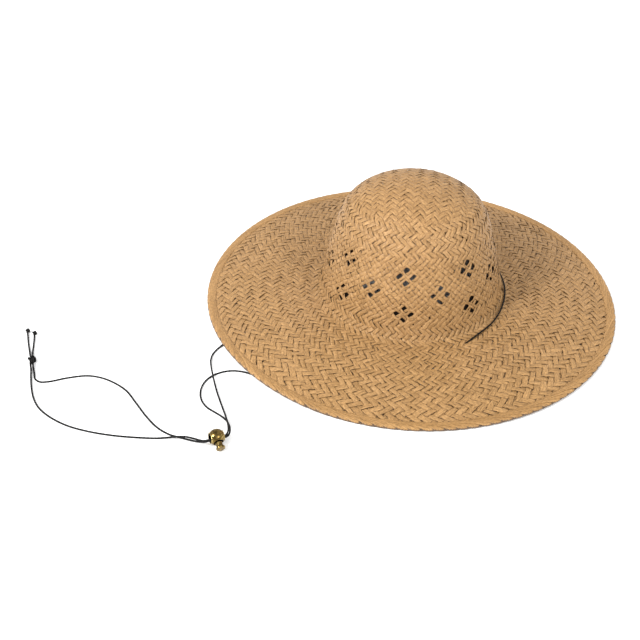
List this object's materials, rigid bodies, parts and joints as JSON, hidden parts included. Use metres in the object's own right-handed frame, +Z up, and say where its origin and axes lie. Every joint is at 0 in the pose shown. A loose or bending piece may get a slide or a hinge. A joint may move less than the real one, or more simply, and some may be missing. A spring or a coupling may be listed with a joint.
{
  "type": "straw sun hat",
  "caption": "Wide-brimmed straw sun hat with vent holes woven round the crown, a folded wired brim edge, and a chin cord with a sprung ball lock.",
  "frame": {"origin": "on the surface the hat stands on, under the middle of the brim", "axes": "+Z up through the crown; the chin cord comes out at 206 degrees round from +X, which is the side of the wearer's face"},
  "size_m": [0.5904, 0.4437, 0.1255],
  "materials": {
    "woven_straw": "flat straw strands in a diagonal weave, dull with a faint sheen",
    "pressed_straw": "folded and pressed straw edge",
    "cotton_band": "ribbed cotton tape, dark brown",
    "waxed_cord": "black braided cord with a soft wax shine",
    "antique_brass": "darkened brass, bright where it is rubbed",
    "spring_wire": "drawn steel wire"
  },
  "bodies": {
    "hat": {"crown_tip": "woven_straw", "crown_side": "woven_straw", "brim": "woven_straw", "brim_hem": "pressed_straw", "hem_wire": "spring_wire", "sweatband": "cotton_band", "crown_cord": "waxed_cord", "chin_cord_left": "waxed_cord", "chin_cord_right": "waxed_cord", "double_knot": "waxed_cord", "cord_tail_left": "waxed_cord", "cord_tail_right": "waxed_cord", "end_knot_left": "waxed_cord", "end_knot_right": "waxed_cord"},
    "cord_lock": {"cord_lock_body": "antique_brass", "cord_lock_spring": "spring_wire"},
    "lock_button": {"cord_lock_plunger": "antique_brass"}
  },
  "joints": [
    {"name": "lock_slide", "type": "slide", "parent": "hat", "child": "cord_lock", "axis": [-0.8928, -0.43, 0.1338], "range_m": [0, 0.0035]},
    {"name": "button_press", "type": "slide", "parent": "cord_lock", "child": "lock_button", "axis": [-0.3833, 0.8815, 0.2756], "range_m": [0, 0.003], "stiffness_N_per_m": 900, "springref_m": -0.002, "deforming": ["cord_lock_spring"]}
  ]
}
